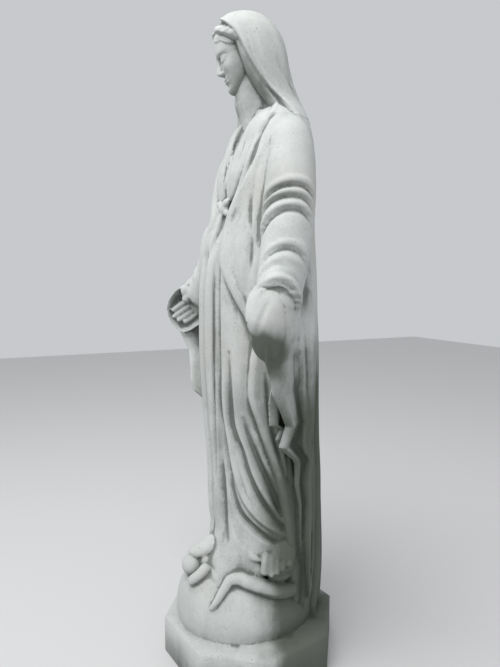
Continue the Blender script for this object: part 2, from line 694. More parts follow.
# The mantle's cloth round the back of the hand, its rims turned forward past the hand's edges.
def handCover(side):
    at = handFrame(side)[0]
    stations = openHand["coverAlong"]

    def shape(turn, share):
        along = stations[0] + (stations[-1] - stations[0]) * share
        wide = curveThrough(stations, openHand["coverWide"][side], along)
        back = curveThrough(stations, openHand["coverBack"], along)
        rim = curveThrough(stations, openHand["coverRim"], along)
        shift = curveThrough(stations, openHand["coverShift"][side], along)
        nearEnd = np.minimum(share, 1 - share) / 0.10
        full = np.sqrt(1 - (1 - np.clip(nearEnd, 0, 1)) ** 2)
        angle = 2 * pi * turn
        bend = np.cos(angle)
        across = shift + wide * full * bend
        thick = openHand["coverThick"] * np.sqrt(1 - bend ** 6) * np.sign(np.sin(angle)) * full
        out = rim - (back - 0.09) * full * (1 - np.abs(bend) ** 3) + thick
        return at(along[:, None], across[:, None], out[:, None])

    return closedForm(shape, 96, 96)


sideDrape = {
    "spine": 0.160,  # how far out its rear edge lies
    "bow": 0.012,
    "thinning": 0.42,  # share of its thickness lost towards its front edge
    "levels": [0.15, 0.25, 0.345, 0.45, 0.54, 0.617, 0.707, 0.755, 0.80, 0.90],
    "out": [0.112, 0.140, 0.158, 0.175, 0.188, 0.208, 0.240, 0.264, 0.282, 0.232],
    "grooves": [  # on the outer side: share from rear to front, low, high, half width and depth
        (
            0.30, 0.30, 0.86, 0.055, 0.0050,
        ), (0.52, 0.42, 0.80, 0.050, 0.0035), (0.72, 0.50, 0.74, 0.045, 0.0030),
        (0.12, 0.28, 0.90, 0.045, 0.0035),
    ],
    # each layer: side, low, high, inset, rear, thickness, and (height, y) up its front edge
    "layers": [
        (
            1, 0.15, 0.965, 0, 0.085, 0.014,
            [
                (0.15, 0.080), (0.25, 0.062), (
                    0.327,
                    0.048,
                ), (0.418, 0.035), (0.469, 0.020), (0.520, 0.016), (0.530, 0.010),
                (0.564, -0.029), (0.590, -0.024), (0.613, -0.019), (0.648, -0.038), (0.689, -0.064),
                (0.714, -0.072), (0.765, -0.099), (0.80, -0.104), (0.90, -0.060),
            ],
        ),
        (
            1, 0.42, 0.74, 0.024, 0.060, 0.008,
            [
                (0.42, 0.040), (0.451, 0.018), (0.461, 0.004), (0.501, 0.002), (
                    0.546,
                    -0.013,
                ), (0.577, -0.027),
                (0.600, -0.018), (0.611, -0.046), (0.663, -0.056), (0.692, -0.056), (0.72, -0.05),
            ],
        ),
        (
            -1, 0.26, 0.965, 0, 0.085, 0.014,
            [
                (0.25, 0.062), (0.40, 0.030), (0.53, -0.004), (0.575, -0.040), (0.598, -0.058),
                (0.620, -0.082), (0.645, -0.089), (0.687, -0.085), (0.730, -0.082), (0.7725, -0.097),
                (0.81, -0.106), (0.90, -0.060),
            ],
        ),
        (
            -1, 0.42, 0.74, 0.024, 0.060, 0.008,
            [(0.42, 0.040), (0.48, 0.010), (0.52, -0.030), (0.56, -0.012), (0.62, -0.052), (0.72, -0.050)],
        ),
    ],
}


# A layer of the cloth that hangs from the hand and forearm, down the side of the skirt.
def wing(side, low, high, inset, rear, thickness, frontEdge):
    def shape(turn, share):
        height = high + (low - high) * share
        front = np.interp(height, *np.transpose(frontEdge)) + 0.006
        out = curveThrough(sideDrape["levels"], sideDrape["out"], height) - inset
        t = (1 + np.cos(2 * pi * turn)) / 2
        y = rear + (front - rear) * t
        bow = sideDrape["bow"] * np.sin(3.2 * pi * t + height * 9) * np.sin(pi * np.clip(t, 0, 1)) ** 0.5
        rearOut = sideDrape["spine"] - inset
        spine = rearOut + (out - rearOut) * t ** 0.8
        thick = thickness * (1 - sideDrape["thinning"] * t)
        roundEdge = np.sqrt(1 - np.cos(2 * pi * turn) ** 8) * np.sign(np.sin(2 * pi * turn))
        x = spine + bow + thick * roundEdge
        for place, down, up, half, depth in sideDrape["grooves"]:
            reach = eased(down, down + 0.08, height) * (1 - eased(up - 0.10, up, height))
            drift = place + 0.03 * np.sin(height * 11 + place * 9)
            x -= depth * reach * np.exp(-(((t - drift) / half) ** 2)) * (roundEdge > 0)
        ends = np.sqrt(np.clip(1 - (2 * share - 1) ** 10, 0, 1))
        top = eased(0, 0.10, share)
        y = 0.045 + (y - 0.045) * (0.35 + 0.65 * top)
        return np.stack([side * (0.165 - inset + (x - 0.165 + inset) * ends), y, height], axis=1)

    return closedForm(shape, 160, 400)


# Open hand, palm turned in and forward: a palm, four fingers and a thumb.
def hand(side):
    at, palm = handFrame(side)
    path = [at(*place) for place in openHand["palmPath"]]
    pieces = [sweep(path, openHand["palmWide"], openHand["palmThick"], palm, 32, 32, 0.1)]
    for b, reach in openHand["fingers"]:
        path = [at(0.42, b * 0.9, 0.0), at(0.62, b, 0.03), at(0.80, b, 0.06), at(reach, b * 0.96, 0.12)]
        pieces.append(sweep(path, openHand["fingerWide"], openHand["fingerThick"], palm, 20, 32, 0.1))
    path = [at(*place) for place in openHand["thumbPath"]]
    pieces.append(sweep(path, openHand["thumbWide"], openHand["thumbThick"], palm, 28, 48, 0.12))
    return pieces


headForm = {
    "size": 0.160,
    "at": (-0.006, -0.012, 1.451),
    "turns": (20, 2, -19),
    "rows": [
        [-0.500, 0.050, -0.300, -0.220],
        [-0.480, 0.095, -0.352, -0.180],
        [-0.430, 0.145, -0.378, -0.120],
        [-0.360, 0.190, -0.378, -0.050],
        [-0.280, 0.228, -0.378, 0.030],
        [-0.200, 0.258, -0.376, 0.130],
        [-0.100, 0.284, -0.384, 0.240],
        [0.000, 0.296, -0.388, 0.320],
        [0.080, 0.304, -0.402, 0.360],
        [0.200, 0.304, -0.390, 0.390],
        [0.300, 0.282, -0.352, 0.380],
        [0.400, 0.220, -0.262, 0.310],
        [0.470, 0.130, -0.140, 0.210],
        [0.500, 0.040, -0.020, 0.110],
    ],
}


# From the head's own frame, in head heights, to the figure.
def onHead(points):
    return turned(np.asarray(points, float) * headForm["size"], headForm["turns"]) + headForm["at"]


neckForm = {
    "path": [(0, 0.040, 1.250), (-0.002, 0.024, 1.305), (-0.007, 0.010, 1.365), (-0.008, 0.004, 1.430)],
    "wide": [0.052, 0.040, 0.040, 0.040],
    "deep": [0.050, 0.041, 0.043, 0.040],
}


def neck():
    return sweep(neckForm["path"], neckForm["wide"], neckForm["deep"], (0, 1, 0), 48, 40, 0.05)


faceForm = {
    "hills": [  # rise, place across and up, and half spans across and up
        (0.009, 0.110, 0.085, 0.110, 0.035),  # brow
        (-0.031, 0.120, 0.012, 0.072, 0.050),  # eye socket
        (-0.007, 0.048, 0.030, 0.030, 0.034),  # beside the bridge
        (0.030, 0.056, -0.168, 0.021, 0.024),  # wing of the nose
        (-0.010, 0.027, -0.203, 0.012, 0.008),  # nostril
        (0.019, 0.180, -0.130, 0.085, 0.085),  # cheek
        (0.014, 0.000, -0.275, 0.110, 0.060),  # round of the mouth
        (-0.006, 0.104, -0.273, 0.016, 0.014),  # corner of the mouth
        (-0.006, 0.000, -0.232, 0.012, 0.018),  # under the nose
        (-0.014, 0.000, -0.345, 0.075, 0.022),  # over the chin
        (0.020, 0.000, -0.425, 0.070, 0.045),  # chin
    ],
    "eye": (0.132, -0.004, 0.078, 0.052, 0.034),  # place, half spans and rise of the lidded eye
    "noseHeights": [-0.230, -0.205, -0.185, -0.155, -0.08, 0.00, 0.05, 0.10],
    "noseRise": [0.000, 0.012, 0.074, 0.098, 0.068, 0.034, 0.022, 0.004],
    "bridgeHeights": [-0.230, -0.185, -0.150, -0.08, 0.00, 0.10],
    "bridgeHalf": [0.050, 0.050, 0.044, 0.034, 0.028, 0.050],
    "lips": [  # rise, height, bend, half span up, and where it ends across
        (0.013, -0.257, -0.90, 0.015, 0.055, 0.105),
        (0.016, -0.302, 1.10, 0.018, 0.040, 0.090),
        (-0.011, -0.280, 0.75, 0.0070, 0.085, 0.105),
    ],
    "bow": 0.004,  # rise of the upper lip's two peaks
}


# How far the features stand out of the plain face at x across and z up, in head heights.
def faceRelief(x, z):
    x = np.abs(x)
    relief = sum(rise * hill(x, z, *place) for rise, *place in faceForm["hills"])
    eyeX, eyeZ, halfX, halfZ, eyeRise = faceForm["eye"]
    away = x - eyeX
    ball = np.clip(1 - (away / halfX) ** 2 - ((z - eyeZ) / halfZ) ** 2, 0, 1)
    relief += eyeRise * ball ** 0.75
    lid = eyeZ - 0.018 + 1.2 * away ** 2
    onEye = eased(0.10, 0.35, ball + 0.20) * (np.abs(away) < 0.085)
    relief -= 0.007 * np.exp(-(((z - lid) / 0.0085) ** 2)) * onEye
    crease = eyeZ + 0.040 - 1.6 * (away + 0.002) ** 2
    relief -= 0.006 * np.exp(-(((z - crease) / 0.009) ** 2)) * (1 - eased(0.060, 0.085, np.abs(away + 0.002)))
    ridge = curveThrough(faceForm["noseHeights"], faceForm["noseRise"], z)
    half = curveThrough(faceForm["bridgeHeights"], faceForm["bridgeHalf"], z)
    relief += ridge * np.exp(-((x / half) ** 2)) * (1 - eased(0.09, 0.15, x))
    peaks = faceForm["bow"] * np.exp(-(((x - 0.020) / 0.016) ** 2))
    for rise, height, bend, halfUp, inner, outer in faceForm["lips"]:
        line = height + bend * x ** 2 + peaks * (bend < 0)
        relief += rise * np.exp(-(((z - line) / halfUp) ** 2)) * (1 - eased(inner, outer, x))
    return relief


# The head, its features standing out of a plain oval.
def head():
    rows = np.asarray(headForm["rows"], float)

    def shape(turn, share):
        z = 0.5 * np.cos(pi * share)
        half, front, back = curveThrough(rows[:, 0], rows[:, 1:], z).T
        angle = 2 * pi * turn
        sine, cosine = np.sin(angle), np.cos(angle)
        sine = np.sign(sine) * np.abs(sine) ** 0.92
        middle = (front + back) / 2
        x = half * sine
        y = middle - (middle - front) * cosine
        facing = eased(0.15, 0.65, cosine)
        y = y - faceRelief(x, z) * facing
        return onHead(np.stack([x, y, z], axis=1))

    return closedForm(shape, 360, 360)


hairLocks = {
    "count": 3,
    "girth": 0.0040,
    "start": (0.010, -0.345, 0.322),  # in head heights, at the parting
    "span": (0.285, 0.27, 0.27),
    "step": (-0.006, -0.030),  # how much farther forward and lower each lock starts
    "waves": 16,
}


# Waves of hair from the parting to the temple, under the cap's rim.
def hair(side):
    x0, y0, z0 = hairLocks["start"]
    across, back, fall = hairLocks["span"]
    forward, drop = hairLocks["step"]
    locks = []
    for k in range(hairLocks["count"]):
        t = np.linspace(0, 1, 9)
        wave = t * hairLocks["waves"]
        x = x0 + across * np.sin(t * 1.45)
        y = y0 + forward * k + back * t ** 2.0 - 0.008 * np.cos(wave + k)
        z = z0 + drop * k * (1 - 0.5 * t) - fall * (1 - np.cos(t * 1.45)) - 0.010 * np.sin(wave + k * 1.3)
        girths = [hairLocks["girth"]] * len(t)
        path = onHead(np.stack([x * side, y, z], axis=1))
        locks.append(sweep(path, girths, girths, (0, -1, 0), 16, 60, 0.08))
    return locks


veilCloth = {
    "top": 1.537,
    "bottom": 1.080,
    "facing": -19,  # degrees that it turns with her head
    "lip": 0.13,  # how far its edge turns in, and how far in the hollow behind it goes
    "well": 0.57,
    "rows": [
        [1.080, 0.036, 0.146, 0.070, 0.080, 140],
        [1.120, 0.037, 0.160, 0.070, 0.104, 130],
        [1.170, 0.038, 0.165, 0.070, 0.107, 118],
        [1.230, 0.038, 0.153, 0.074, 0.107, 108],
        [1.275, 0.040, 0.133, 0.078, 0.104, 100],
        [1.308, 0.039, 0.114, 0.080, 0.100, 94],
        [1.335, 0.034, 0.096, 0.082, 0.095, 89],
        [1.356, 0.024, 0.088, 0.086, 0.096, 86],
        [1.385, 0.008, 0.084, 0.090, 0.098, 88],
        [1.421, -0.004, 0.083, 0.094, 0.098, 84],
        [1.455, -0.008, 0.080, 0.094, 0.095, 75],
        [1.482, -0.010, 0.075, 0.092, 0.088, 63],
        [1.500, -0.010, 0.068, 0.081, 0.077, 46],
        [1.519, -0.010, 0.053, 0.062, 0.058, 14],
        [1.530, -0.010, 0.038, 0.045, 0.041, -10],
        [1.537, -0.010, 0.015, 0.016, 0.016, -10],
    ],
    "lines": [
        ([(92, 1.480), (97, 1.445), (101, 1.410), (104, 1.375)], 0.011, -0.0022),
        ([(128, 1.42), (133, 1.36), (136, 1.31), (138, 1.25)], 0.012, -0.003),
        ([(158, 1.42), (160, 1.34), (160, 1.24), (160, 1.14)], 0.011, -0.004),
    ],
}


# The veil, over her head and shoulders and down her back.
def veil(turn, share):
    rows = np.asarray(veilCloth["rows"], float)
    height = veilCloth["top"] + (veilCloth["bottom"] - veilCloth["top"]) * share
    middle, width, front, back, edge = curveThrough(rows[:, 0], rows[:, 1:], height).T
    signed = np.mod(turn * 360 + 180, 360) - 180
    angle = np.radians(signed)
    away = np.abs(signed)
    fall = eased(1.28, 1.31, height) * (1 - eased(1.37, 1.41, height))
    edge = edge - 22 * fall * (signed < 0)
    soft = 1 - eased(1.275, 1.315, height)
    lip = 1 - eased(edge - 3 - 9 * soft, edge + 1 + 7 * soft, away)
    well = 1 - eased(edge - 26, edge - 2, away)
    lift = linesLift(away, height, veilCloth["lines"], 0.0015)
    lift += 0.0025 * np.exp(-(((away - edge - 5) / 4) ** 2)) * eased(0, 20, edge)
    depth = np.where(np.cos(angle) > 0, front, back)
    keep = 1 - veilCloth["lip"] * lip - veilCloth["well"] * well
    x = (width + lift) * np.sin(angle) * keep
    y = -(depth + lift) * np.cos(angle) * keep
    facing = np.radians(veilCloth["facing"] * eased(1.30, 1.42, height))
    c, s = np.cos(facing), np.sin(facing)
    return np.stack([x * c - y * s - 0.004, middle + x * s + y * c, height], axis=1)


capForm = {
    "tilt": 35,  # degrees that its opening faces down from ahead
    "radii": (0.425, 0.520, 0.435),  # in head heights
    "middle": (0, 0.045, 0.070),
    "rim": 83,  # degrees from the opening's axis to the rolled rim
    "roll": 0.040,
    "core": 0.22,
}


# The close cap under the veil, its rim across the forehead.
def cap():
    tilt = radians(capForm["tilt"])
    axis = np.array([0, -np.cos(tilt), -np.sin(tilt)])

    def shape(turn, share):
        polar = pi * share
        around = 2 * pi * turn
        ray = np.stack(
            [np.sin(polar) * np.cos(around), np.sin(polar) * np.sin(around), np.cos(polar)],
            axis=1,
        )
        rim = np.degrees(np.arccos(np.clip(ray @ axis, -1, 1)))
        out = eased(74, 78, rim)
        bearing = np.arctan2(ray[:, 0], ray @ np.cross(axis, [1, 0, 0]))
        waves = 1 + 0.30 * np.sin(bearing * 9 + rim * 0.20) + 0.15 * np.sin(bearing * 23 - rim * 0.3)
        roll = capForm["roll"] * np.exp(-(((rim - capForm["rim"]) / 8) ** 2)) * waves
        full = ray * (np.array(capForm["radii"]) + roll[:, None]) + capForm["middle"]
        core = ray * capForm["core"]
        return onHead(core + (full - core) * out[:, None])

    return closedForm(shape, 200, 200)


footForm = {
    "faces": (0.70, -0.32, 0.62),
    "instep": [
        (0.109, 0.044, 0.339), (0.130, 0.027, 0.318), (0.140, 0.014, 0.301),
        (0.146, 0.005, 0.282), (0.149, 0.001, 0.265), (0.150, -0.000, 0.251),
    ],
    "instepWide": [0.028, 0.032, 0.0355, 0.0365, 0.034, 0.028],
    "instepThick": [0.030, 0.024, 0.0155, 0.0115, 0.010, 0.008],
    "sole": [  # centre and radii of what fills in under the toes and beside the hem
        ((0.127, 0.016, 0.245), (0.028, 0.032, 0.022)),
        ((0.112, -0.028, 0.253), (0.018, 0.018, 0.022)),
    ],
    "toeRoots": [
        (
            0.130,
            -0.020,
            0.292,
        ), (0.138, -0.008, 0.293), (0.144, 0.005, 0.292), (0.149, 0.017, 0.289), (0.152, 0.030, 0.284),
    ],
    "toeTips": [
        (
            0.146,
            -0.032,
            0.252,
        ), (0.158, -0.020, 0.250), (0.167, -0.010, 0.258), (0.169, 0.003, 0.265), (0.169, 0.020, 0.272),
    ],
    "toeGirths": [0.0100, 0.0074, 0.0066, 0.0066, 0.0080],
}


# Her left foot, turned out: the instep from under the hem, and five toes over the serpent.
def foot():
    out = np.array(footForm["faces"])
    pieces = [sweep(footForm["instep"], footForm["instepWide"], footForm["instepThick"], out, 64, 64, 0.14)]
    for root, end, girth in zip(footForm["toeRoots"], footForm["toeTips"], footForm["toeGirths"]):
        root, end = np.array(root), np.array(end)
        knuckle = root * 0.48 + end * 0.52 + out * 0.004
        path = [root * 1.25 - end * 0.25 - out * 0.006, root, knuckle, end]
        wide = [girth, girth, girth * 0.94, girth * 1.04]
        pieces.append(sweep(path, wide, wide, out, 32, 48, 0.16))
    pieces += [egg(centre, radii) for centre, radii in footForm["sole"]]
    return pieces


# The normals of a mesh's points.
def pointNormals(mesh):
    normals = np.empty(len(mesh.vertices) * 3, dtype=np.float32)
    mesh.vertices.foreach_get("normal", normals)
    return normals.reshape(-1, 3)


# The places of a mesh's points.
def pointPlaces(mesh):
    co = np.empty(len(mesh.vertices) * 3, dtype=np.float32)
    mesh.vertices.foreach_get("co", co)
    return co.reshape(-1, 3)


# Folds and grooves carved last, on the fused stone: name, sides, half width, rise or depth, and points
carvedLines = [
    ("serpent eye", "left", 0.007, -0.004, [(0.012, -0.136, 0.284), (0.013, -0.130, 0.282)]),
    (
        "hand groove", "left", 0.007, -0.003,
        [
            (0.271, -0.084, 0.886), (0.281, -0.102, 0.862), (0.284, -0.114, 0.838), (0.277, -0.117, 0.817),
        ],
    ),
    (
        "drape ridge", "both", 0.008, 0.004,
        [
            (0.214, 0.021, 0.808), (0.206, 0.029, 0.753), (0.197, 0.035, 0.675), (0.191, 0.042, 0.572),
            (0.177, 0.055, 0.451),
        ],
    ),
    (
        "hand fold", "left", 0.006, -0.0022,
        [
            (0.270, -0.060, 0.888), (0.275, -0.051, 0.861), (0.275, -0.049, 0.826), (0.275, -0.058, 0.795),
        ],
    ),
    (
        "pleat one", "both", 0.0035, -0.003,
        [
            (-0.031, -0.041, 1.236), (-0.016, -0.058, 1.173), (-0.013, -0.065, 1.114),
        ],
    ),
    (
        "pleat two", "both", 0.0035, -0.003,
        [
            (-0.044, -0.014, 1.291), (-0.024, -0.031, 1.235), (0.022, -0.064, 1.165),
            (0.026, -0.073, 1.107),
        ],
    ),
    (
        "pleat three", "both", 0.0035, -0.003,
        [
            (0.033, -0.046, 1.225), (0.047, -0.064, 1.167), (0.030, -0.067, 1.116),
        ],
    ),
    (
        "lapel edge", "both", 0.005, -0.003,
        [
            (0.057, -0.024, 1.274), (0.056, -0.038, 1.238), (0.055, -0.055, 1.193), (0.049, -0.065, 1.138),
        ],
    ),
    (
        "mantle valley", "both", 0.008, -0.007,
        [
            (0.110, 0.014, 1.291), (0.101, -0.003, 1.276), (0.096, -0.020, 1.245), (0.101, -0.042, 1.191),
            (0.093, -0.058, 1.155), (0.074, -0.069, 1.116),
        ],
    ),
    (
        "mantle faint one", "both", 0.009, -0.0035,
        [
            (0.106, -0.052, 1.119), (0.123, -0.057, 1.031), (0.135, -0.058, 0.945),
        ],
    ),
    ("mantle faint two", "both", 0.007, -0.002, [(0.127, -0.042, 1.084), (0.142, -0.047, 0.987)]),
    (
        "skirt fold", "left", 0.006, -0.005,
        [
            (0.023, -0.097, 1.004), (0.034, -0.106, 0.901), (0.035, -0.107, 0.762), (0.030, -0.105, 0.596),
            (0.022, -0.100, 0.446),
        ],
    ),
    (
        "seam", "left", 0.0048, 0.0028,
        [
            (0.159, -0.016, 0.212), (0.156, -0.009, 0.158), (0.161, -0.009, 0.100), (0.196, -0.030, 0.092),
        ],
    ),
    (
        "veil groove", "left", 0.008, -0.003,
        [
            (0.064, -0.047, 1.476), (0.076, -0.031, 1.426), (0.079, -0.013, 1.385), (0.078, 0.013, 1.347),
            (0.096, 0.039, 1.313),
        ],
    ),
    (
        "veil ridge", "left", 0.016, 0.003,
        [
            (0.065, 0.019, 1.495), (0.071, 0.049, 1.421), (0.083, 0.064, 1.343),
        ],
    ),
    (
        "cuff rim", "both", 0.007, 0.004,
        [
            (0.268, -0.117, 0.873), (0.256, -0.105, 0.894), (0.253, -0.082, 0.911), (0.261, -0.060, 0.913),
            (0.267, -0.039, 0.901), (0.266, -0.020, 0.881),
        ],
    ),
]


# Moves the stone's points along their normals beside each carved line.
def carve(mesh, lines):
    co = pointPlaces(mesh).astype(float)
    normals = pointNormals(mesh).astype(float)
    lift = np.zeros(len(co))
    drawn = [(points, half, rise) for _, _, half, rise, points in lines]
    drawn += [(mirrored(points, -1), half, rise) for _, sides, half, rise, points in lines if sides == "both"]
    count = 40
    for points, half, rise in drawn:
        line = smoothLine(points, count)
        inside = np.all((co > line.min(axis=0) - half) & (co < line.max(axis=0) + half), axis=1)
        here = co[inside]
        best = np.full(len(here), 9.0)
        when = np.zeros(len(here))
        for k in range(count - 1):
            step = line[k + 1] - line[k]
            t = np.clip(((here - line[k]) @ step) / max(step @ step, 1e-12), 0, 1)
            away = np.linalg.norm(here - line[k] - t[:, None] * step, axis=1)
            closer = away < best
            best[closer] = away[closer]
            when[closer] = ((k + t) / (count - 1))[closer]
        taper = np.sqrt(np.clip(np.sin(pi * np.clip(when, 0.02, 0.98)), 0, 1))
        lift[inside] += rise * taper * np.clip(1 - (best / half) ** 2, 0, 1) ** 1.5
    mesh.vertices.foreach_set("co", (co + normals * lift[:, None]).ravel())
    mesh.update()


casting = {
    "figureHeight": 1.261,  # over the globe's crown
    "drawnHeight": 1.261,  # the same height in the figure's drawing
    "neckShare": 0.81,  # her neck's height as a share of the figure's
    "headRamp": 0.05,  # height over which the finer cells of the head begin
    "cell": 0.0026,  # side of the cells that fuse the masses into one casting, halved at the head
    "triangles": 186000,
}


# From the figure as drawn to its height and its place on the globe.
def placeFigure(mesh):
    scale = casting["figureHeight"] / casting["drawnHeight"]
    crown = globeMiddle()[2] + globeBall["tall"]
    remap(mesh, lambda co: (co - (0, 0, globeBall["crown"])) * scale + (0, 0, crown))


# Where the finer cells of the head begin.
def neckHeight():
    return globeMiddle()[2] + globeBall["tall"] + casting["neckShare"] * casting["figureHeight"]


# Doubles the head's size about the neck, so that equal cells are half as large there.
def widen(co):
    base = neckHeight()
    reach = casting["headRamp"]
    rise = np.clip(co[:, 2] - base, 0, None)
    ramp = np.clip(rise / reach, 0, 1)
    out = co.copy()
    out[:, 2] = co[:, 2] + np.where(rise < reach, rise * ramp / 2, rise - reach / 2)
    out[:, :2] = co[:, :2] * (1 + ramp)[:, None]
    return out


# Takes the head back to its own size.
def narrow(co):
    base = neckHeight()
    reach = casting["headRamp"]
    rise = np.clip(co[:, 2] - base, 0, None)
    low = reach * (np.sqrt(1 + 2 * rise / reach) - 1)
    true = np.where(rise < 1.5 * reach, low, (rise + reach / 2) / 2)
    out = co.copy()
    out[:, 2] = np.where(rise > 0, base + true, co[:, 2])
    out[:, :2] = co[:, :2] / (1 + np.clip(true / reach, 0, 1))[:, None]
    return out


# The object's mesh with its modifiers applied. The object is removed.
def evaluated(obj):
    bpy.context.view_layer.update()
    graph = bpy.context.evaluated_depsgraph_get()
    mesh = bpy.data.meshes.new_from_object(obj.evaluated_get(graph))
    bpy.data.objects.remove(obj)
    return mesh


# One mesh of all the masses, their overlaps removed.
def fused(meshes, cell):
    bm = bmesh.new()
    for mesh in meshes:
        bm.from_mesh(mesh)
        bpy.data.meshes.remove(mesh)
    joined = bpy.data.meshes.new("joined")
    bm.to_mesh(joined)
    bm.free()
    remap(joined, widen)
    obj = bpy.data.objects.new("joined", joined)
    bpy.context.scene.collection.objects.link(obj)
    remesh = obj.modifiers.new("fuse", "REMESH")
    remesh.mode = "VOXEL"
    remesh.voxel_size = cell
    remesh.adaptivity = 0.0
    mesh = evaluated(obj)
    remap(mesh, narrow)
    return mesh


# The mesh smoothed a little and reduced to about that many triangles.
def thinned(mesh, triangles):
    obj = bpy.data.objects.new("cast", mesh)
    bpy.context.scene.collection.objects.link(obj)
    smooth = obj.modifiers.new("smooth", "SMOOTH")
    smooth.factor = 0.5
    smooth.iterations = 2
    mesh.calc_loop_triangles()
    count = len(mesh.loop_triangles)
    reduce = obj.modifiers.new("reduce", "DECIMATE")
    reduce.ratio = triangles / count
    reduce.use_collapse_triangulate = True
    return evaluated(obj)


# The casting joined to its crisp-edged plinth.
def withPlinth(mesh):
    cast = bpy.data.objects.new("cast", mesh)
    block = bpy.data.objects.new("block", plinth())
    for obj in (cast, block):
        bpy.context.scene.collection.objects.link(obj)
    join = cast.modifiers.new("join", "BOOLEAN")
    join.operation = "UNION"
    join.solver = "EXACT"
    join.object = block
    joined = evaluated(cast)
    bpy.data.objects.remove(block)
    return joined


# Triangles only, and nothing but the one largest body.
def withoutScraps(mesh):
    bm = bmesh.new()
    bm.from_mesh(mesh)
    bmesh.ops.triangulate(bm, faces=bm.faces)
    bodies = []
    seen = set()
    for first in bm.verts:
        if first in seen:
            continue
        body, edge = [first], [first]
        seen.add(first)
        while edge:
            vert = edge.pop()
            for link in vert.link_edges:
                other = link.other_vert(vert)
                if other not in seen:
                    seen.add(other)
                    body.append(other)
                    edge.append(other)
        bodies.append(body)
    bodies.sort(key=len)
    for body in bodies[:-1]:
        bmesh.ops.delete(bm, geom=body, context="VERTS")
    bmesh.ops.recalc_face_normals(bm, faces=bm.faces)
    bm.to_mesh(mesh)
    bm.free()
    return mesh


# Every mass of the figure, in its place over the globe.
def figureMasses():
    masses = [
        closedForm(tunic, 360, 320), closedForm(hemOnGlobe, 240, 200), closedForm(mantle, 320, 320),
        closedForm(veil, 240, 200), cap(), neck(), head(),
    ]
    masses += knot()
    masses += foot()
    for side in (1, -1):
        masses += [sleeve(side), handCover(side), lapel(side)]
        masses += hand(side)
        masses += hair(side)
    masses += [wing(*layer) for layer in sideDrape["layers"]]
    masses += [egg(*swell) for swell in openHand["swells"]]
    centre, radii, turns = openHand["thumbRoot"]
    masses += [egg(mirrored(centre, side), radii, turns) for side in (1, -1)]
    for mass in masses:
        placeFigure(mass)
    return masses


weathering = {
    "rays": 20,  # sky rays for each point, for how sheltered it is
    "reach": 0.45,  # length of a ray
    "shelterRounds": 9,  # times that the shelter is averaged with its neighbours
    "hollowRounds": 24,
    "hollowFull": 0.0022,  # depth that counts as a full hollow
    "paleStone": (0.605, 0.627, 0.612),
    "greyStone": (0.405, 0.430, 0.413),
    "warmStone": (0.560, 0.520, 0.455),
    "greenStain": (0.052, 0.064, 0.042),
    "darkDirt": (0.050, 0.058, 0.046),
    "underHand": (0.270, -0.094, 0.786),  # where the rain runs off the cloth at her left hand
    "mottleSize": 9.0,  # patches in a metre
    "grainSize": 420.0,
    "poreSize": 150.0,
    "roughness": 0.86,
}


# Keeps numbers on the mesh's points under a name that the material reads.
def keepOnPoints(mesh, name, values):
    layer = mesh.attributes.new(name, "FLOAT", "POINT")
    layer.data.foreach_set("value", np.ascontiguousarray(values, dtype=np.float32))


# Numbers at the points averaged with their neighbours, some rounds over.
def softened(mesh, values, rounds):
    pairs = np.empty(len(mesh.edges) * 2, dtype=np.int32)
    mesh.edges.foreach_get("vertices", pairs)
    a, b = pairs.reshape(-1, 2).T
    count = len(mesh.vertices)
    ends = np.concatenate([a, b])
    others = np.concatenate([b, a])
    share = np.bincount(ends, minlength=count)
    share = np.maximum(share, 1)
    values = np.array(values, float)
    for _ in range(rounds):
        if values.ndim == 1:
            values = (values + np.bincount(ends, values[others], count) / share) / 2
        else:
            mean = [np.bincount(ends, values[others, k], count) / share for k in range(values.shape[1])]
            values = (values + np.stack(mean, axis=1)) / 2
    return values


# How far each point lies under the smoothed surface, in metres. Hollows are above 0 and ridges below.
def hollows(mesh, rounds):
    co = pointPlaces(mesh)
    return np.einsum("ij,ij->i", softened(mesh, co, rounds) - co, pointNormals(mesh))


# The share of the sky that the rest of the piece hides from each point.
def shelter(mesh):
    rng = np.random.default_rng(7)
    count = weathering["rays"]
    k = np.arange(count) + 0.5
    rise = 1 - 1.25 * k / count
    bearing = pi * (1 + 5 ** 0.5) * k
    flat = np.sqrt(np.clip(1 - rise * rise, 0, 1))
    rays = np.stack([flat * np.cos(bearing), flat * np.sin(bearing), rise], axis=1)
    tree = BVHTree.FromPolygons(
        [v.co for v in mesh.vertices], [tuple(p.vertices) for p in mesh.polygons], all_triangles=False
    )
    places = pointPlaces(mesh)
    normals = pointNormals(mesh)
    starts = places + normals * 0.002
    hidden = np.zeros(len(places))
    rays += rng.normal(0, 0.02, rays.shape)
    for ray in rays:
        ray = ray / np.linalg.norm(ray)
        aim = Vector(ray)
        faced = normals @ ray + 0.25 > 0.02
        for i in np.nonzero(faced)[0]:
            if tree.ray_cast(Vector(starts[i]), aim, weathering["reach"])[0] is not None:
                hidden[i] += 1
        hidden[~faced] += 1
    return hidden / count


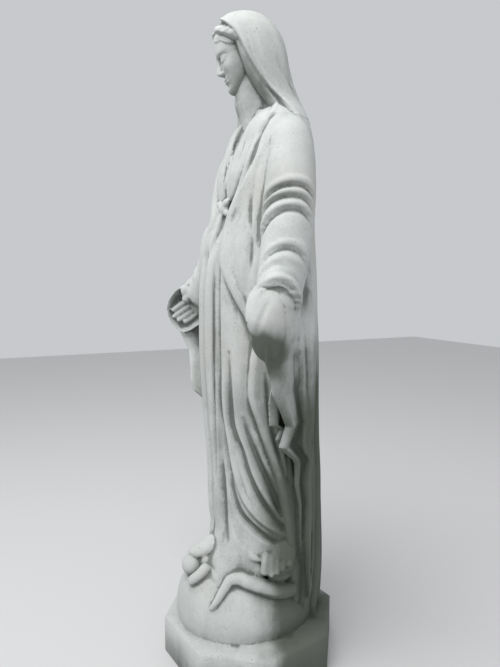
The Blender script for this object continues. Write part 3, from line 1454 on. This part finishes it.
# Wraps a shader socket, so that shader maths reads as Python.
class Wire:
    def __init__(self, tree, socket=None):
        self.tree = tree
        self.socket = socket

    def node(self, kind, settings=None, sockets=None, out=0):
        node = self.tree.nodes.new(kind)
        for name, value in (settings or {}).items():
            setattr(node, name, value)
        for name, value in (sockets or {}).items():
            if isinstance(value, Wire):
                self.tree.links.new(value.socket, node.inputs[name])
            else:
                node.inputs[name].default_value = value
        return Wire(self.tree, node.outputs[out])

    def maths(self, operation, first, second):
        return self.node("ShaderNodeMath", {"operation": operation}, {0: first, 1: second})

    def __add__(self, other):
        return self.maths("ADD", self, other)

    def __radd__(self, other):
        return self.maths("ADD", other, self)

    def __sub__(self, other):
        return self.maths("SUBTRACT", self, other)

    def __rsub__(self, other):
        return self.maths("SUBTRACT", other, self)

    def __mul__(self, other):
        return self.maths("MULTIPLY", self, other)

    def __rmul__(self, other):
        return self.maths("MULTIPLY", other, self)

    # 0 below low, 1 above high, and a smooth rise between
    def between(self, low, high):
        settings = {"interpolation_type": "SMOOTHSTEP"}
        return self.node("ShaderNodeMapRange", settings, {"Value": self, "From Min": low, "From Max": high})

    # first where it is 0, and second where it is 1
    def mixed(self, first, second):
        sockets = {0: self, 6: first, 7: second}
        return self.node("ShaderNodeMix", {"data_type": "RGBA"}, sockets, 2)


def rgba(colour):
    return (*colour, 1.0)


# Weathered light grey cast stone: mottling, streaks, green stain in shelter, dirt in hollows, fine pores.
def castStone():
    material = bpy.data.materials.new("weatheredCastStone")
    material.use_nodes = True
    tree = material.node_tree
    shader = tree.nodes["Principled BSDF"]
    wire = Wire(tree)
    look = weathering
    place = wire.node("ShaderNodeTexCoord", out=3)

    def noise(scale, detail=4.0, stretch=None, seed=0.0, rough=0.55):
        where = place
        if stretch or seed:
            sockets = {
                "Vector": place,
                "Scale": stretch or (1, 1, 1),
                "Location": (seed, seed * 0.7, seed * 1.3),
            }
            where = wire.node("ShaderNodeMapping", None, sockets)
        sockets = {"Vector": where, "Scale": scale, "Detail": detail, "Roughness": rough}
        return wire.node("ShaderNodeTexNoise", None, sockets)

    def onPoints(name):
        return wire.node("ShaderNodeAttribute", {"attribute_name": name}, out=2)

    shade = onPoints("shelter")
    hollow = onPoints("hollow")
    low = onPoints("damp")
    patches = noise(look["mottleSize"], 6.0, rough=0.62)
    clouds = noise(look["mottleSize"] * 0.35, 3.0, seed=3.1)
    streaks = noise(26.0, 5.0, stretch=(1, 1, 0.10), seed=1.7, rough=0.6)
    grain = noise(look["grainSize"], 2.0)
    speckle = noise(look["grainSize"] * 0.35, 3.0, seed=5.0, rough=0.7)

    grey = (patches * 0.6 + clouds * 0.4 + speckle * 0.25).between(0.50, 0.78)
    colour = (grey * 0.75).mixed(rgba(look["paleStone"]), rgba(look["greyStone"]))
    warm = (noise(5.0, 3.0, seed=8.0) * 0.7 + clouds * 0.3).between(0.50, 0.72)
    colour = (warm * 0.35).mixed(colour, rgba(look["warmStone"]))
    stain = (low + shade * 0.50 + (streaks - 0.5) * 0.45 + (patches - 0.5) * 0.6).between(0.30, 1.25)
    colour = (stain * 0.88).mixed(colour, rgba(look["greenStain"]))
    dirt = (hollow * 1.0 + shade * 0.45 + (speckle - 0.5) * 0.5 + (streaks - 0.5) * 0.35).between(0.30, 1.15)
    colour = (dirt * 0.66).mixed(colour, rgba(look["darkDirt"]))
    worn = (hollow * -1.0 + (patches - 0.5) * 0.3).between(0.30, 1.1)
    colour = (worn * 0.35 * (1 - stain * 0.9)).mixed(colour, rgba(look["paleStone"]))

    cells = wire.node(
        "ShaderNodeTexVoronoi",
        None,
        {"Vector": place, "Scale": look["poreSize"], "Randomness": 1.0},
    )
    few = noise(look["poreSize"] * 0.22, 2.0, seed=11.0).between(0.50, 0.66)
    pores = (1 - cells.between(0.10, 0.24)) * few
    colour = (pores * 0.55).mixed(colour, rgba(look["darkDirt"]))
    tree.links.new(colour.socket, shader.inputs["Base Color"])

    height = grain * 0.25 + speckle * 0.55 + patches * 0.8 - pores * 0.9
    sockets = {"Height": height, "Strength": 0.30, "Distance": 0.0012}
    bump = wire.node("ShaderNodeBump", None, sockets)
    tree.links.new(bump.socket, shader.inputs["Normal"])
    shader.inputs["Roughness"].default_value = look["roughness"]
    shader.inputs["Specular IOR Level"].default_value = 0.30
    return material


# Where damp stains the stone: low down, at her left and back, on undersides and under her left hand.
def dampness(mesh):
    co = pointPlaces(mesh).astype(float)
    low = 1 - eased(0.25, 0.75, co[:, 2])
    back = eased(-0.10, 0.13, co[:, 1])
    left = eased(-0.02, 0.18, co[:, 0])
    under = eased(0.0, 0.65, -pointNormals(mesh)[:, 2])
    side = 1.05 * low * (0.16 + 0.84 * back) * (0.30 + 0.70 * left)
    lower = 0.16 * (1 - eased(0.30, 1.0, co[:, 2])) * eased(0.30, 0.36, co[:, 2])
    outer = 0.85 * back * left * (1 - eased(0.62, 0.92, co[:, 2]))
    hand = np.exp(-(np.linalg.norm(co - weathering["underHand"], axis=1) / 0.046) ** 2)
    return side + lower + outer + 0.50 * under + 1.35 * hand + 0.10 * back


# Turns a light or the camera to face a place.
def lookAt(obj, target):
    obj.rotation_euler = (Vector(target) - obj.location).to_track_quat("-Z", "Y").to_euler()


studio = {
    "cameraAway": 1.286,
    "cameraHeight": 0.913,
    "cameraTurn": 65,  # degrees from her front towards her left
    "cameraTilt": 84.7,
    "lens": 28.336,
    "floorShade": 0.68,
    "skyStrength": 0.60,
    "aim": (0, 0, 0.7),  # where both lights point
    "key": ((0.5, -1.2, 3.5), 2.0, 74),  # place, side and watts
    "fill": ((2.2, -2.2, 1.5), 1.6, 7),
}


# The camera, at her left and a little ahead.
def camera():
    data = bpy.data.cameras.new("camera")
    data.lens = studio["lens"]
    data.sensor_width = 36
    obj = bpy.data.objects.new("camera", data)
    bpy.context.scene.collection.objects.link(obj)
    turn = radians(studio["cameraTurn"])
    away = studio["cameraAway"]
    obj.location = (away * sin(turn), -away * cos(turn), studio["cameraHeight"])
    obj.rotation_euler = (radians(studio["cameraTilt"]), 0, turn)
    bpy.context.scene.camera = obj


# A square area light, as the studio's values give it.
def softLight(name):
    place, side, watts = studio[name]
    data = bpy.data.lights.new(name, "AREA")
    data.shape = "SQUARE"
    data.size = side
    data.energy = watts
    obj = bpy.data.objects.new(name, data)
    bpy.context.scene.collection.objects.link(obj)
    obj.location = place
    lookAt(obj, studio["aim"])


# A pale floor and a pale, even sky.
def backdrop():
    bm = bmesh.new()
    bmesh.ops.create_grid(bm, x_segments=1, y_segments=1, size=6)
    mesh = bpy.data.meshes.new("floor")
    bm.to_mesh(mesh)
    bm.free()
    floor = bpy.data.objects.new("floor", mesh)
    bpy.context.scene.collection.objects.link(floor)
    material = bpy.data.materials.new("paleFloor")
    material.use_nodes = True
    shader = material.node_tree.nodes["Principled BSDF"]
    shade = studio["floorShade"]
    shader.inputs["Base Color"].default_value = (shade, shade, shade, 1)
    shader.inputs["Roughness"].default_value = 0.9
    floor.data.materials.append(material)
    world = bpy.data.worlds.new("paleRoom")
    bpy.context.scene.world = world
    world.use_nodes = True
    sky = world.node_tree.nodes["Background"]
    sky.inputs["Color"].default_value = (0.95, 0.97, 1.0, 1)
    sky.inputs["Strength"].default_value = studio["skyStrength"]


# Sets the studio, then makes the one cast piece and puts it in the frame.
def main():
    camera()
    backdrop()
    softLight("key")
    softLight("fill")
    print("camera, floor and lights set")
    cast = fused(figureMasses() + globe() + serpent(), casting["cell"])
    print("masses fused:", len(cast.polygons), "faces")
    mesh = withoutScraps(withPlinth(thinned(withoutScraps(cast), casting["triangles"])))
    print("statue mesh:", len(mesh.polygons), "triangles")
    carve(mesh, carvedLines)
    mesh.name = "castStatue"
    mesh.shade_smooth()
    depths = hollows(mesh, weathering["hollowRounds"]) / weathering["hollowFull"]
    keepOnPoints(mesh, "hollow", np.clip(depths, -1, 1))
    keepOnPoints(mesh, "shelter", softened(mesh, shelter(mesh), weathering["shelterRounds"]))
    keepOnPoints(mesh, "damp", dampness(mesh))
    print("weathering worked out")
    statue = bpy.data.objects.new("castStatue", mesh)
    bpy.context.scene.collection.objects.link(statue)
    statue.data.materials.append(castStone())
    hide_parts("statue")
    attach(statue, "root")
    bpy.context.scene.view_settings.view_transform = "Standard"


main()
